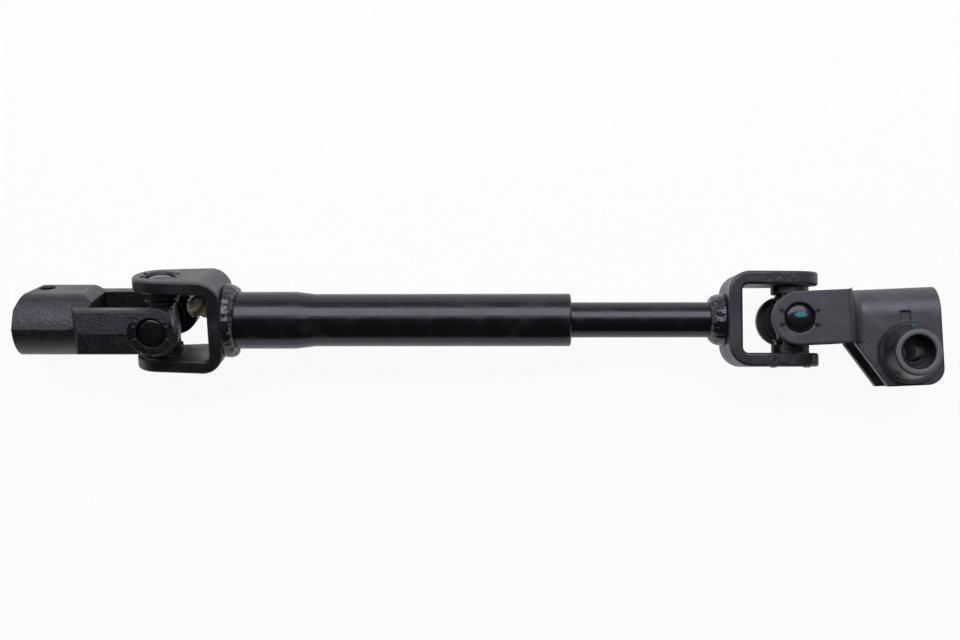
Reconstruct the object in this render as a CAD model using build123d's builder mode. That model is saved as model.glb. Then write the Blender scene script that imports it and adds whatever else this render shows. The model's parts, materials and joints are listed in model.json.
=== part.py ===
# Intermediate steering shaft: two universal joints and a telescopic middle.
# Millimetres. +X runs along the shaft from the steering column end to the steering gear end.
# +Z is up from the table that the shaft lies on, and +Y lies across the shaft.
# The origin is the centre of the splined bore's mouth, at the column end.
import os
from math import atan2, cos, radians, sin, tan

from build123d import *

# Layout along the shaft
hub_reach = 76.5  # from the bore's mouth to the column joint's centre
joint_distance = 338.6  # between the two joints' centres
clamp_reach = 76.2  # from the gear joint's centre to the clamp's open end
column_phase = 18.0  # the column joint is turned about the shaft by this angle, in degrees
clamp_tilt = 2.4  # the clamp yoke leans towards +Y by this angle, in degrees

# Bearing cups, needles, seals and crosses, the same eight times over
cup_radius = 8.0
cup_wall = 1.1
cup_floor = 1.6
cup_open_end = 11.7  # from the joint's centre to the cup's open end
cup_sink = 1.9  # from the outside of a fork's arm down to the cup's outer end
cup_edge = 0.6
needle_radius = 1.0
needle_count = 18
needle_sides = 6  # flats that stand for a needle's round
needle_setback = 2.55  # from the cup's open end to the needles
running_gap = 0.05
trunnion_radius = 4.82
thrust_gap = 0.1  # between a trunnion's end and the cup's floor
shoulder_radius = 6.9
shoulder_end = 10.6  # from the joint's centre to the shoulder that faces a seal
cross_block = 19.0
cross_thickness = 13.0
cross_corner = 4.0
cross_end_chamfer = 1.4
trunnion_chamfer = 0.8
seal_radius = 8.9
seal_gap = 0.1

# Stamped yokes of the tube and the inner shaft, bent from thick strip
strip = 7.2
fork_span = 50.4  # over both arms
fork_throat = 28.0  # from the joint's centre to the web's inner face
bend_inside = 3.0
bend_outside = 11.5
eye_radius = 14.8
web_width = 36.0
strip_edge = 1.3
collar_radius = 10.0
cup_stand = 1.7  # the cup stands out of its collar by this much
eye_chamfer = 1.0
tube_web_hole = 10.2
shaft_web_hole = 7.5

# Outer tube
tube_radius = 14.2
swell_radius = 15.45
swell_length = 38.0
swell_taper = 10.0
tube_end = 297.6
tube_plain_bore = 11.2
tube_spline_length = 80.0
tube_edge = 0.8

# Inner shaft, with rolled splines on its hidden end and a nylon coating on them
shaft_radius = 9.5
shaft_start = 205.0
shaft_spline_length = 85.0
spline_count = 18
spline_root = 9.25
spline_tip = 10.4
spline_root_share = 0.34  # half a tooth's width at its root, as a share of the pitch
spline_tip_share = 0.18
coating = 0.25
slide_gap = 0.08
shaft_chamfer = 1.2

# Weld beads
tube_weld_leg = 6.0
tube_weld_height = 5.2
shaft_weld_leg = 8.6
shaft_weld_height = 4.6
weld_toe = 0.9

# Forged column yoke
hub_radius = 18.5
hub_crown_middle = (7.4, 14.6)  # the front's upper half is flatter than a circle between these points
hub_crown_end = (13.8, 8.8)
hub_pad_bend = (15.3, 6.1)
hub_pad_edge = (16.0, 3.2)
hub_top_flat = 16.0
hub_low_flat = 18.3
hub_back = 16.6
hub_back_corner = 3.5
hub_corner_front = (2.4, 16.0, 9.3)  # the end's corner is cut by a plane through these three points
hub_corner_back = (6.4, 16.0, -14.0)
hub_corner_low = (0.0, 9.5, 13.0)
flash_height = 0.4
flash_width = 1.0
hub_bore = 8.0
hub_shoulder_run = 6.0
hub_shoulder_drop = 3.6
hub_shoulder_bulge = 1.1
slit_width = 3.0
slit_length = 25.0
slit_relief = 2.6
bolt_offset = 9.4  # from the bore's axis to the pinch bolt's axis
bolt_inset = 11.4  # from the bore's mouth to the pinch bolt's axis
bolt_clearance_radius = 4.2
bolt_thread_radius = 3.4
bolt_mouth_chamfer = 0.7
bolt_thread_start = 2.0
crotch_reach = 35.4
arm_outer = 27.0
arm_crown_drop = 3.9  # the upper half of each arm slopes down to its edge by this much
arm_draft_drop = 1.1
arm_inner = 17.4
arm_half_width = 11.8
arm_end_radius = 12.7
arm_end_shift = 1.9
arm_root = 43.5
arm_shoulder = 4.5
arm_corner = 2.2
window_corner = 6.0
spot_face_radius = 12.2
spot_face_level = 25.3
forged_edge = 1.4
forged_edge_least = 20.0  # only the arms' edges longer than this are rounded

# Stamped clamp yoke
sheet = 4.8
clamp_bore = 9.5
barrel_start = 31.0
clamp_arm_outer = 25.2
clamp_eye_radius = 13.8
clamp_arm_flat = 25.0
clamp_lap = 0.2  # the flat runs this far on into the step
clamp_joggle_length = 10.0
clamp_joggle = [(0, 0), (0.25, 0.1), (0.5, 0.5), (0.75, 0.9), (1, 1)]  # how far along, how far stepped in
clamp_wrap = 74.0  # the arms blend into this much of the barrel each side, in degrees
clamp_least_wrap = 0.005  # share of that turn which counts as flat
clamp_collar_radius = 10.2
clamp_collar_height = 4.0
lug_depth = 37.8
lug_corner = 9.0
lug_root = 13.0  # below the barrel's axis, where the lugs leave it
lug_slant_start = (30.4, -13.8)
lug_slant_end = (46.6, -37.8)
dimple_size = 5.4
dimple_depth = 1.4
dimple_along = 57.6
dimple_up = -1.2
boss_along = 58.2
boss_down = 20.4
boss_foot_radius = 16.4
boss_foot_height = 2.4
boss_waist_radius = 14.4
boss_nose_radius = 12.3
boss_height = 17.6
boss_bore = 8.5
boss_floor = 7.0
boss_spigot_radius = 7.2
pinch_bolt_radius = 5.2
nut_width = 16.0
nut_height = 7.5
nut_thread_radius = 4.4

# Lump of sealant
lump_length = 14.0
lump_height = 13.6
lump_depth = 11.0
lump_corner = 4.5
lump_arm_gap = 3.2  # from the fork's far arm to the lump
lump_rise = 2.6  # the lump's middle lies above the shaft's axis by this much

# Places worked out from the sizes above
gear_x = hub_reach + joint_distance
column_joint = Plane(origin=(hub_reach, 0, 0)).rotated((column_phase, 0, 0))
gear_joint = Plane(origin=(gear_x, 0, 0))
clamp_plane = gear_joint.rotated((0, 0, clamp_tilt))
fork_outer = fork_span / 2
fork_inner = fork_outer - strip
web_face = fork_throat + strip
tube_start = hub_reach + web_face
shaft_web_x = gear_x - web_face
cup_inner_radius = cup_radius - cup_wall
needle_pitch = cup_inner_radius - needle_radius
cup_end = fork_outer - cup_sink
needle_length = cup_end - cup_floor - running_gap - cup_open_end - needle_setback
collar_height = fork_inner - cup_open_end - cup_stand
barrel_radius = clamp_bore + sheet

os.makedirs("parts", exist_ok=True)


def save(piece, name):
    piece.label = name
    export_step(piece, f"parts/{name}.step")


def across(joint, direction):
    """A plane at the joint's centre whose z runs outwards along one trunnion."""
    return Plane(origin=joint.origin, x_dir=joint.x_dir, z_dir=direction)


def half_section(station):
    """A plane through the station's z axis: its x is the radius and its y runs along that axis."""
    normal = station.x_dir.cross(station.z_dir)
    return Plane(origin=station.origin, x_dir=station.x_dir, z_dir=normal)


def turned(station, points):
    """A solid of revolution about the station's z axis, from (radius, height) points."""
    with BuildPart() as piece:
        with BuildSketch(half_section(station)):
            with BuildLine():
                Polyline(points, close=True)
            make_face()
        revolve(axis=Axis(station.origin, station.z_dir))
    return piece.part


# Bearing cups, needle rollers and seals


def bearing_cup(station):
    floor_inside = cup_end - cup_floor
    return turned(
        station,
        [
            (0, floor_inside),
            (cup_inner_radius, floor_inside),
            (cup_inner_radius, cup_open_end),
            (cup_radius, cup_open_end),
            (cup_radius, cup_end - cup_edge),
            (cup_radius - cup_edge, cup_end),
            (0, cup_end),
        ],
    )


def needle_rollers(station):
    with BuildPart() as rollers:
        with BuildSketch(station.offset(cup_open_end + needle_setback)):
            with PolarLocations(needle_pitch, needle_count):
                RegularPolygon(radius=needle_radius, side_count=needle_sides)
        extrude(amount=needle_length)
    return rollers.part


def lip_seal(station):
    seat = shoulder_end + seal_gap
    lip = trunnion_radius + running_gap
    return turned(
        station,
        [(lip, seat), (seal_radius, seat), (seal_radius, cup_open_end), (lip, cup_open_end)],
    )


def cross(joint):
    """The forged cross, with a trunnion and a shoulder along each arm of both yokes."""
    trunnion_end = cup_end - cup_floor - thrust_gap
    with BuildPart() as body:
        with BuildSketch(Plane(origin=joint.origin, x_dir=joint.y_dir, z_dir=joint.x_dir)):
            Rectangle(cross_block, cross_block)
            chamfer(vertices(), length=cross_corner)
        extrude(amount=cross_thickness / 2, both=True)
        ends = body.faces().filter_by(GeomType.PLANE).sort_by(Axis.X)
        chamfer(ends[0].edges() + ends[-1].edges(), length=cross_end_chamfer)
        for direction in (joint.y_dir, -joint.y_dir, joint.z_dir, -joint.z_dir):
            station = across(joint, direction)
            with BuildSketch(half_section(station)):
                with BuildLine():
                    Polyline(
                        (0, 0),
                        (shoulder_radius, 0),
                        (shoulder_radius, shoulder_end),
                        (trunnion_radius, shoulder_end),
                        (trunnion_radius, trunnion_end - trunnion_chamfer),
                        (trunnion_radius - trunnion_chamfer, trunnion_end),
                        (0, trunnion_end),
                        close=True,
                    )
                make_face()
            revolve(axis=Axis(station.origin, station.z_dir))
    return body.part


# Stamped fork of the tube and of the inner shaft


def stamped_fork(joint, towards_web, web_hole):
    """A strip bent into a fork. towards_web is +1 where the web lies at +X of the joint, -1 at -X."""
    side = Plane(origin=joint.origin, x_dir=joint.x_dir * towards_web, z_dir=joint.z_dir)
    plan = Plane(origin=joint.origin, x_dir=joint.x_dir * towards_web, z_dir=joint.y_dir)
    web = Plane(origin=joint.origin + joint.x_dir * towards_web * fork_throat,
                x_dir=joint.y_dir, z_dir=joint.x_dir * towards_web)
    with BuildPart() as fork:
        with BuildSketch(side):
            with BuildLine():
                FilletPolyline(
                    (-eye_radius, fork_outer),
                    (web_face, fork_outer),
                    (web_face, -fork_outer),
                    (-eye_radius, -fork_outer),
                    radius=bend_outside,
                )
                Line((-eye_radius, -fork_outer), (-eye_radius, -fork_inner))
                FilletPolyline(
                    (-eye_radius, -fork_inner),
                    (fork_throat, -fork_inner),
                    (fork_throat, fork_inner),
                    (-eye_radius, fork_inner),
                    radius=bend_inside,
                )
                Line((-eye_radius, fork_inner), (-eye_radius, fork_outer))
            make_face()
        extrude(amount=web_width / 2, both=True)
        with BuildSketch(plan.offset(-fork_span)):
            Circle(eye_radius)
            with Locations(((fork_throat + web_face) / 2, 0)):
                Rectangle(strip, web_width)
            make_hull()
        extrude(amount=2 * fork_span, mode=Mode.INTERSECT)
        fillet(fork.edges().filter_by(lambda e: e.length > strip + 1), radius=strip_edge)
        for direction in (joint.y_dir, -joint.y_dir):
            station = across(joint, direction)
            with BuildSketch(station.offset(fork_inner - collar_height)):
                Circle(collar_radius)
            extrude(amount=collar_height + strip / 2)
        for direction in (joint.y_dir, -joint.y_dir):
            station = across(joint, direction)
            with BuildSketch(station):
                Circle(cup_radius)
            extrude(amount=fork_span, mode=Mode.SUBTRACT)
            with BuildSketch(half_section(station)):
                with BuildLine():
                    Polyline(
                        (0, fork_outer - eye_chamfer),
                        (cup_radius, fork_outer - eye_chamfer),
                        (cup_radius + eye_chamfer, fork_outer),
                        (0, fork_outer),
                        close=True,
                    )
                make_face()
            revolve(axis=Axis(station.origin, station.z_dir), mode=Mode.SUBTRACT)
        with BuildSketch(web):
            Circle(web_hole)
        extrude(amount=strip, mode=Mode.SUBTRACT)
    return fork.part


def weld_bead(face_x, away, tube, leg, height):
    """A weld round a tube, against a web face. away is +1 where the tube leaves towards +X."""
    station = Plane(origin=(face_x, 0, 0), x_dir=(0, 0, 1), z_dir=(away, 0, 0))
    return turned(
        station,
        [
            (tube, 0),
            (tube + height, 0),
            (tube + height * 0.85, leg * 0.4),
            (tube + weld_toe, leg - weld_toe),
            (tube, leg),
        ],
    )


def spline_points(growth):
    """The corners of the ring of straight-sided teeth, all moved outwards by the same growth."""
    pitch = radians(360 / spline_count)
    flank_run = (spline_root * spline_root_share - spline_tip * spline_tip_share) * pitch
    flank_angle = atan2(flank_run, spline_tip - spline_root)
    sideways = growth * (1 / cos(flank_angle) - tan(flank_angle))
    root = spline_root + growth
    tip = spline_tip + growth
    root_angle = spline_root_share * pitch + sideways / root
    tip_angle = spline_tip_share * pitch + sideways / tip
    points = []
    for tooth in range(spline_count):
        for offset_angle, radius in (
            (-root_angle, root),
            (-tip_angle, tip),
            (tip_angle, tip),
            (root_angle, root),
        ):
            angle = tooth * pitch + offset_angle
            points.append((radius * cos(angle), radius * sin(angle)))
    return points


save(stamped_fork(column_joint, 1, tube_web_hole), "tube_yoke")
save(stamped_fork(gear_joint, -1, shaft_web_hole), "shaft_yoke")
save(weld_bead(tube_start, 1, swell_radius, tube_weld_leg, tube_weld_height), "tube_weld")
save(weld_bead(shaft_web_x, -1, shaft_radius, shaft_weld_leg, shaft_weld_height), "shaft_weld")
save(cross(column_joint), "column_cross")
save(cross(gear_joint), "gear_cross")

# One cup, one set of needles and one seal for every eye
bearings = (
    ("tube_yoke", column_joint, column_joint.y_dir),
    ("column_yoke", column_joint, column_joint.z_dir),
    ("shaft_yoke", gear_joint, gear_joint.y_dir),
    ("clamp_yoke", gear_joint, gear_joint.z_dir),
)
for yoke, joint, direction in bearings:
    for side, outward in (("a", direction), ("b", -direction)):
        station = across(joint, outward)
        save(bearing_cup(station), f"{yoke}_cup_{side}")
        save(needle_rollers(station), f"{yoke}_needles_{side}")
        save(lip_seal(station), f"{yoke}_seal_{side}")

# Outer tube

with BuildPart() as tube:
    with BuildSketch(Plane.XZ):
        with BuildLine():
            Polyline(
                (tube_start, 0),
                (tube_start, swell_radius),
                (tube_start + swell_length, swell_radius),
                (tube_start + swell_length + swell_taper, tube_radius),
                (tube_end - tube_edge, tube_radius),
                (tube_end, tube_radius - tube_edge),
                (tube_end, 0),
                close=True,
            )
        make_face()
    revolve(axis=Axis.X)
    with BuildSketch(Plane.YZ.offset(tube_start)):
        Circle(tube_plain_bore)
    extrude(amount=tube_end - tube_start - tube_spline_length, mode=Mode.SUBTRACT)
    with BuildSketch(Plane.YZ.offset(tube_end - tube_spline_length)):
        with BuildLine():
            Polyline(spline_points(coating + slide_gap), close=True)
        make_face()
    extrude(amount=tube_spline_length, mode=Mode.SUBTRACT)
save(tube.part, "outer_tube")

# Inner shaft

with BuildPart() as shaft:
    with BuildSketch(Plane.YZ.offset(shaft_start)):
        with BuildLine():
            Polyline(spline_points(0), close=True)
        make_face()
    extrude(amount=shaft_spline_length)
    with BuildSketch(Plane.YZ.offset(shaft_start + shaft_spline_length)):
        Circle(shaft_radius)
    extrude(amount=shaft_web_x - shaft_start - shaft_spline_length)
    with BuildSketch(Plane.YZ.offset(shaft_web_x)):
        Circle(shaft_web_hole)
    extrude(amount=strip - shaft_chamfer)
save(shaft.part, "inner_shaft")

with BuildPart() as sleeve:
    with BuildSketch(Plane.YZ.offset(shaft_start)):
        with BuildLine():
            Polyline(spline_points(coating), close=True)
        make_face()
        with BuildLine():
            Polyline(spline_points(0), close=True)
        make_face(mode=Mode.SUBTRACT)
    extrude(amount=shaft_spline_length)
save(sleeve.part, "spline_coating")

# Forged column yoke: a split hub and two arms with flat-faced eyes

column_side = Plane(origin=column_joint.origin, x_dir=column_joint.x_dir, z_dir=-column_joint.y_dir)
column_plan = Plane(origin=column_joint.origin, x_dir=column_joint.x_dir, z_dir=column_joint.z_dir)
column_section = Plane(origin=column_joint.origin, x_dir=column_joint.y_dir, z_dir=column_joint.x_dir)
arm_reach = arm_end_shift + arm_end_radius
hub_mouth = column_section.offset(-hub_reach)

with BuildPart() as arms:
    with BuildSketch(column_side):
        with BuildLine():
            FilletPolyline(
                (-arm_root, 0),
                (-arm_root, hub_radius - 1),
                (-arm_root + arm_shoulder, arm_outer),
                (arm_reach, arm_outer),
                (arm_reach, arm_inner),
                (-crotch_reach, arm_inner),
                (-crotch_reach, 0),
                radius=arm_corner,
            )
            Line((-crotch_reach, 0), (-arm_root, 0))
        make_face()
        mirror(about=Plane.XZ)
        with Locations((-crotch_reach + arm_reach, 0)):
            RectangleRounded(2 * arm_reach, 2 * arm_inner, window_corner, mode=Mode.SUBTRACT)
        with Locations((-crotch_reach + window_corner + arm_reach, 0)):
            Rectangle(2 * arm_reach, 2 * arm_inner, mode=Mode.SUBTRACT)
    extrude(amount=arm_end_radius, both=True)
    with BuildSketch(column_plan.offset(-2 * arm_outer)):
        with Locations((-arm_root / 2, 0)):
            Rectangle(arm_root, 2 * arm_half_width)
        with Locations((arm_end_shift, 0)):
            Circle(arm_end_radius)
    extrude(amount=4 * arm_outer, mode=Mode.INTERSECT)
    with BuildSketch(column_section.offset(-hub_reach)):
        with BuildLine():
            Polyline(
                (-arm_end_radius, -arm_outer + arm_draft_drop),
                (0, -arm_outer),
                (arm_end_radius, -arm_outer + arm_draft_drop),
                (arm_end_radius, arm_outer - arm_crown_drop),
                (0, arm_outer),
                (-arm_end_radius, arm_outer - arm_draft_drop),
                close=True,
            )
        make_face()
    extrude(amount=2 * hub_reach, mode=Mode.INTERSECT)


def in_column_joint(point):
    """A point given from the bore's mouth, along the joint's own axes."""
    return column_joint.from_local_coords(Vector(point) - Vector(hub_reach, 0, 0))


corner_a = in_column_joint(hub_corner_front)
corner_b = in_column_joint(hub_corner_back)
corner_c = in_column_joint(hub_corner_low)
hub_corner_plane = Plane(
    origin=corner_a,
    x_dir=corner_b - corner_a,
    z_dir=(corner_b - corner_a).cross(corner_c - corner_a),
)

with BuildPart() as column_yoke:
    with BuildSketch(hub_mouth):
        Circle(hub_radius)
        with Locations((hub_radius, hub_radius / 2)):
            Rectangle(2 * hub_radius, hub_radius, mode=Mode.SUBTRACT)
        with BuildLine():
            ThreePointArc((0, hub_radius), hub_crown_middle, hub_crown_end)
            ThreePointArc(hub_crown_end, hub_pad_bend, hub_pad_edge)
            Polyline(hub_pad_edge, (hub_pad_edge[0], 0), (0, 0), (0, hub_radius))
        make_face()
        with Locations((0, -hub_back / 2)):
            RectangleRounded(2 * hub_radius, hub_back, hub_back_corner)
        with Locations(((hub_top_flat - hub_low_flat) / 2, 0)):
            Rectangle(hub_top_flat + hub_low_flat, 3 * hub_radius, mode=Mode.INTERSECT)
        with Locations((0, hub_radius - hub_back)):
            Rectangle(3 * hub_radius, 2 * hub_radius, mode=Mode.INTERSECT)
    extrude(amount=hub_reach - crotch_reach)
    with BuildSketch(column_plan.offset(-2 * hub_radius)):
        with BuildLine():
            for level, side in ((hub_top_flat, 1), (hub_low_flat, -1)):
                ThreePointArc(
                    (-crotch_reach - hub_shoulder_run, side * level),
                    (-crotch_reach - hub_shoulder_run / 2, side * (level - hub_shoulder_bulge)),
                    (-crotch_reach, side * (level - hub_shoulder_drop)),
                )
            Polyline(
                (-crotch_reach - hub_shoulder_run, hub_top_flat),
                (-hub_reach, hub_top_flat),
                (-hub_reach, -hub_low_flat),
                (-crotch_reach - hub_shoulder_run, -hub_low_flat),
            )
            Line(
                (-crotch_reach, hub_top_flat - hub_shoulder_drop),
                (-crotch_reach, -hub_low_flat + hub_shoulder_drop),
            )
        make_face()
    extrude(amount=4 * hub_radius, mode=Mode.INTERSECT)
    split(bisect_by=hub_corner_plane, keep=Keep.BOTTOM)
    with BuildSketch(column_side):
        with Locations((-hub_reach / 2 - hub_corner_front[0] / 2 - arm_root / 2, hub_radius / 2)):
            Rectangle(hub_reach - arm_root - hub_corner_front[0], hub_radius + 2 * flash_height)
    extrude(amount=flash_width / 2, both=True)
    add(arms.part)
    fillet(
        column_yoke.edges().filter_by(
            lambda e: e.center().X > hub_reach - arm_root + arm_shoulder
            and e.length > forged_edge_least
            and abs(column_joint.to_local_coords(e).center().Y) > arm_half_width - 1
        ),
        radius=forged_edge,
    )
    for direction in (column_joint.z_dir, -column_joint.z_dir):
        station = across(column_joint, direction)
        with BuildSketch(station):
            Circle(cup_radius)
        extrude(amount=2 * arm_outer, mode=Mode.SUBTRACT)
        with BuildSketch(station.offset(spot_face_level)):
            Circle(spot_face_radius)
        extrude(amount=arm_outer, mode=Mode.SUBTRACT)
    with BuildSketch(hub_mouth):
        Circle(hub_bore)
    extrude(amount=hub_reach - crotch_reach, mode=Mode.SUBTRACT)
    with BuildSketch(hub_mouth):
        with Locations((0, -hub_radius)):
            Rectangle(slit_width, 2 * hub_radius)
    extrude(amount=slit_length, mode=Mode.SUBTRACT)
    with BuildSketch(column_side):
        with Locations((-hub_reach + slit_length, -hub_radius)):
            Rectangle(2 * slit_relief, 2 * hub_radius)
    extrude(amount=slit_width / 2, both=True, mode=Mode.SUBTRACT)
    bolt_station = Plane(
        origin=hub_mouth.origin + hub_mouth.z_dir * bolt_inset - column_joint.z_dir * bolt_offset,
        x_dir=column_joint.x_dir,
        z_dir=column_joint.y_dir,
    )
    with BuildSketch(bolt_station.offset(-2 * hub_radius)):
        Circle(bolt_thread_radius)
    extrude(amount=4 * hub_radius, mode=Mode.SUBTRACT)
    with BuildSketch(bolt_station.offset(-bolt_thread_start)):
        Circle(bolt_clearance_radius)
    extrude(amount=2 * hub_radius, mode=Mode.SUBTRACT)
    with BuildSketch(half_section(bolt_station.offset(hub_top_flat))):
        with BuildLine():
            Polyline(
                (0, 0),
                (bolt_clearance_radius + bolt_mouth_chamfer, 0),
                (bolt_clearance_radius, -bolt_mouth_chamfer),
                (0, -bolt_mouth_chamfer),
                close=True,
            )
        make_face()
    revolve(axis=Axis(bolt_station.origin, bolt_station.z_dir), mode=Mode.SUBTRACT)
save(column_yoke.part, "column_yoke")

# Stamped clamp yoke: two arms that step in to a barrel with a pair of bolt lugs

clamp_side = Plane(origin=clamp_plane.origin, x_dir=clamp_plane.x_dir, z_dir=clamp_plane.z_dir)
clamp_section = Plane(origin=clamp_plane.origin, x_dir=clamp_plane.y_dir, z_dir=clamp_plane.x_dir)


def arm_strip_section(share):
    """One arm's section: flat at the eye end (share 0), wrapped round the barrel's side at the other (1)."""
    outer = clamp_arm_outer + (barrel_radius - clamp_arm_outer) * share
    wrapped_length = radians(clamp_wrap) * barrel_radius
    length = clamp_eye_radius + (wrapped_length - clamp_eye_radius) * share
    turn = radians(clamp_wrap) * max(share, clamp_least_wrap)
    outer_bend = length / turn
    inner_bend = outer_bend - sheet
    centre = outer - outer_bend
    with BuildLine() as outline:
        top = ThreePointArc(
            (outer_bend * sin(turn), centre + outer_bend * cos(turn)),
            (outer_bend * sin(turn / 2), centre + outer_bend * cos(turn / 2)),
            (0, outer),
        )
        Polyline(
            (0, outer),
            (-clamp_eye_radius, outer),
            (-clamp_eye_radius, outer - sheet),
            (0, outer - sheet),
        )
        low = ThreePointArc(
            (0, outer - sheet),
            (inner_bend * sin(turn / 2), centre + inner_bend * cos(turn / 2)),
            (inner_bend * sin(turn), centre + inner_bend * cos(turn)),
        )
        Line(low @ 1, top @ 0)
    return outline.line


with BuildPart() as clamp_arm:
    with BuildSketch(clamp_side.offset(clamp_arm_outer - sheet)):
        with Locations(((clamp_arm_flat + clamp_lap) / 2, 0)):
            Rectangle(clamp_arm_flat + clamp_lap, 2 * clamp_eye_radius)
        Circle(clamp_eye_radius)
    extrude(amount=sheet)
    for along, share in clamp_joggle:
        with BuildSketch(clamp_section.offset(clamp_arm_flat + clamp_joggle_length * along)):
            add(arm_strip_section(share))
            make_face()
    loft()
    with BuildSketch(clamp_side.offset(clamp_arm_outer - sheet - clamp_collar_height)):
        Circle(clamp_collar_radius)
    extrude(amount=clamp_collar_height + sheet / 2)

with BuildPart() as clamp_yoke:
    with BuildSketch(clamp_section.offset(barrel_start)):
        Circle(barrel_radius)
        with Locations((-lug_depth / 2, 0)):
            Rectangle(lug_depth, 2 * barrel_radius)
        Circle(clamp_bore, mode=Mode.SUBTRACT)
        with Locations((-lug_depth / 2, 0)):
            Rectangle(lug_depth, 2 * clamp_bore, mode=Mode.SUBTRACT)
    extrude(amount=clamp_reach - barrel_start)
    with BuildSketch(clamp_side.offset(-2 * barrel_radius)):
        with BuildLine():
            Polyline(
                (barrel_start, barrel_radius),
                (clamp_reach, barrel_radius),
                (clamp_reach, -lug_depth),
                lug_slant_end,
                lug_slant_start,
                (barrel_start, -lug_root),
                close=True,
            )
        make_face()
        corners = vertices().filter_by_position(Axis.Y, -lug_depth - 1, -lug_depth + 1)
        fillet(corners.sort_by(Axis.X)[-1], radius=lug_corner)
    extrude(amount=4 * barrel_radius, mode=Mode.INTERSECT)
    add(clamp_arm.part)
    add(mirror(clamp_arm.part, about=Plane(origin=clamp_plane.origin, z_dir=clamp_plane.z_dir)))
    for direction in (clamp_plane.z_dir, -clamp_plane.z_dir):
        station = across(clamp_plane, direction)
        with BuildSketch(station):
            Circle(cup_radius)
        extrude(amount=2 * clamp_arm_outer, mode=Mode.SUBTRACT)
    with BuildSketch(clamp_side.offset(-2 * barrel_radius)):
        with Locations((boss_along, -boss_down)):
            Circle(pinch_bolt_radius)
    extrude(amount=4 * barrel_radius, mode=Mode.SUBTRACT)
    with BuildSketch(clamp_side):
        with Locations((boss_along, -boss_down)):
            Circle(boss_spigot_radius)
    extrude(amount=2 * barrel_radius, mode=Mode.SUBTRACT)
    with BuildSketch(clamp_side.offset(barrel_radius - dimple_depth)):
        with Locations((dimple_along, dimple_up)):
            Rectangle(dimple_size, dimple_size)
    extrude(amount=barrel_radius, mode=Mode.SUBTRACT)
save(clamp_yoke.part, "clamp_yoke")

# Boss and nut of the clamp yoke's pinch bolt

bolt_centre = (
    clamp_plane.origin + clamp_plane.x_dir * boss_along - clamp_plane.y_dir * boss_down
)
boss_station = Plane(origin=bolt_centre, x_dir=clamp_plane.x_dir, z_dir=clamp_plane.z_dir)
boss = turned(
    boss_station.offset(barrel_radius),
    [
        (pinch_bolt_radius, -sheet),
        (boss_spigot_radius, -sheet),
        (boss_spigot_radius, 0),
        (boss_foot_radius, 0),
        (boss_foot_radius, boss_foot_height),
        (boss_waist_radius, boss_foot_height + 2),
        (boss_nose_radius + 0.6, boss_height - 4),
        (boss_nose_radius, boss_height - 1.2),
        (boss_nose_radius - 1.2, boss_height),
        (boss_bore + 1.0, boss_height),
        (boss_bore, boss_height - 1.0),
        (boss_bore, boss_floor),
        (pinch_bolt_radius, boss_floor),
    ],
)
save(boss, "bolt_boss")

with BuildPart() as nut:
    with BuildSketch(boss_station.offset(-barrel_radius - nut_height)):
        RegularPolygon(radius=nut_width / 2, side_count=6, major_radius=False)
        Circle(nut_thread_radius, mode=Mode.SUBTRACT)
    extrude(amount=nut_height)
save(nut.part, "clamp_nut")


# A lump of clear sealant inside the tube's fork, against the web and one arm

lump_plane = Plane(
    origin=(tube_start - strip - lump_length / 2, fork_inner - lump_arm_gap - lump_height / 2, lump_rise),
    x_dir=(1, 0, 0),
    z_dir=(0, 0, 1),
)
with BuildPart() as lump:
    with BuildSketch(lump_plane):
        RectangleRounded(lump_length, lump_height, lump_corner)
    extrude(amount=lump_depth / 2, both=True)
    fillet(lump.edges().filter_by(Axis.Z, reverse=True), radius=lump_corner / 2)
save(lump.part, "sealant_lump")
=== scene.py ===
# %% [markdown]
# # An intermediate steering shaft, dressed in Blender
# The solids come from a CAD program and are packed as a frame that never moves.
# Here each of them gets its finish, and the forms that repeat or are too fine for the
# solids are added: weld ripples, stake marks, domes on the cups' ends, the hub's
# serrations and the soft shape of a lump of sealant.
# Everything is in metres. +X runs along the shaft and +Z points up from the table.

# %% Load the frame
import json
from math import cos, pi, radians, sin

import bmesh
import bpy
from mathutils import Matrix, Vector, noise


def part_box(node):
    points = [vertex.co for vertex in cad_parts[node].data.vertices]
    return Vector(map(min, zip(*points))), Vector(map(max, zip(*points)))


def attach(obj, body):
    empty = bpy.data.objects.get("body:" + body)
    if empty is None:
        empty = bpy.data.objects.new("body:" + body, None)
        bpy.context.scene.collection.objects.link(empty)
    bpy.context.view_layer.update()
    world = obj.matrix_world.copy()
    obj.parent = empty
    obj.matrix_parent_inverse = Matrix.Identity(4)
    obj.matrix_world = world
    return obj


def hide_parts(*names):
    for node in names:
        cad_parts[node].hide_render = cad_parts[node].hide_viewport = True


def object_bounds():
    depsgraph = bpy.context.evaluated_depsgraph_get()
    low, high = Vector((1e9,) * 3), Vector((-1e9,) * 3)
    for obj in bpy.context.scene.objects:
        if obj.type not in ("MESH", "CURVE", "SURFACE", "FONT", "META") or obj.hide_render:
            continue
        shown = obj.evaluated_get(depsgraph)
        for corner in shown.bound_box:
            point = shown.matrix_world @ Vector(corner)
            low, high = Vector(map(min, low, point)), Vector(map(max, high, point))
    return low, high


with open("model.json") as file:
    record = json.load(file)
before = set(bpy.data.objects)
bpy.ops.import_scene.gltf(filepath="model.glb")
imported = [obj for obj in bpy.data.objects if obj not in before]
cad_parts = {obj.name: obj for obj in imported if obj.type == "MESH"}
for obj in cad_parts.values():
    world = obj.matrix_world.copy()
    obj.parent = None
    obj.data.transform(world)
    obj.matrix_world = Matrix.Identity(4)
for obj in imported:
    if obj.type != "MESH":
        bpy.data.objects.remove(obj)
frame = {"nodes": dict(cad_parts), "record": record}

cad_box = [list(corner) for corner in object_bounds()]
nodes = frame["nodes"]
print("CAD nodes:", len(nodes))

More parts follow.
